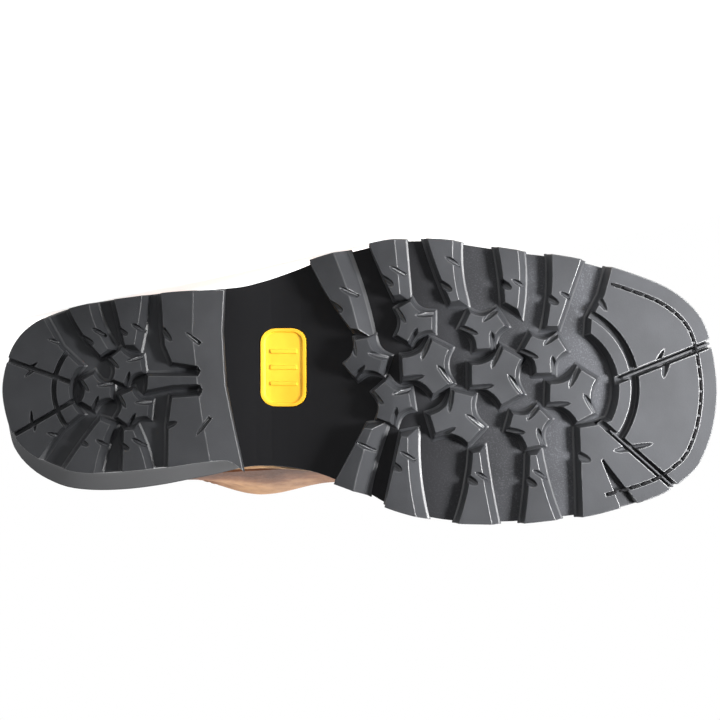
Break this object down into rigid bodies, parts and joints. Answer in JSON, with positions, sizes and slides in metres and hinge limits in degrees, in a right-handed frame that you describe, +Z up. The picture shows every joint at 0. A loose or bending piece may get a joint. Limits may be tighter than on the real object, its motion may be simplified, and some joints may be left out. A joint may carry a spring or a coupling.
{
  "type": "wellington work boot",
  "caption": "Pull-on leather work boot lying on its side, with a hollow shaft and foot, a stitched welt and a deep-lugged rubber outsole and heel with a wide square toe.",
  "frame": {"origin": "middle of the boot's floor print, on the floor", "axes": "boot lies on its outer side: +Z up from the floor to the inner side, sole faces -Y and the shaft runs to +Y, toe towards -X"},
  "size_m": [0.3054, 0.3022, 0.1338],
  "materials": {
    "outsole": "satin moulded black rubber, matte and finely speckled on the groove floors",
    "heel": "satin moulded black rubber",
    "welt": "brown edge-finished strip",
    "insole": "matte natural tan",
    "upper": "oiled pull-up leather with soft sheen and creases",
    "waist_plug": "satin moulded amber yellow"
  },
  "bodies": {
    "root": {"outsole": "outsole", "heel": "heel", "welt": "welt", "insole": "insole", "upper": "upper", "waist_plug": "waist_plug"}
  },
  "joints": []
}
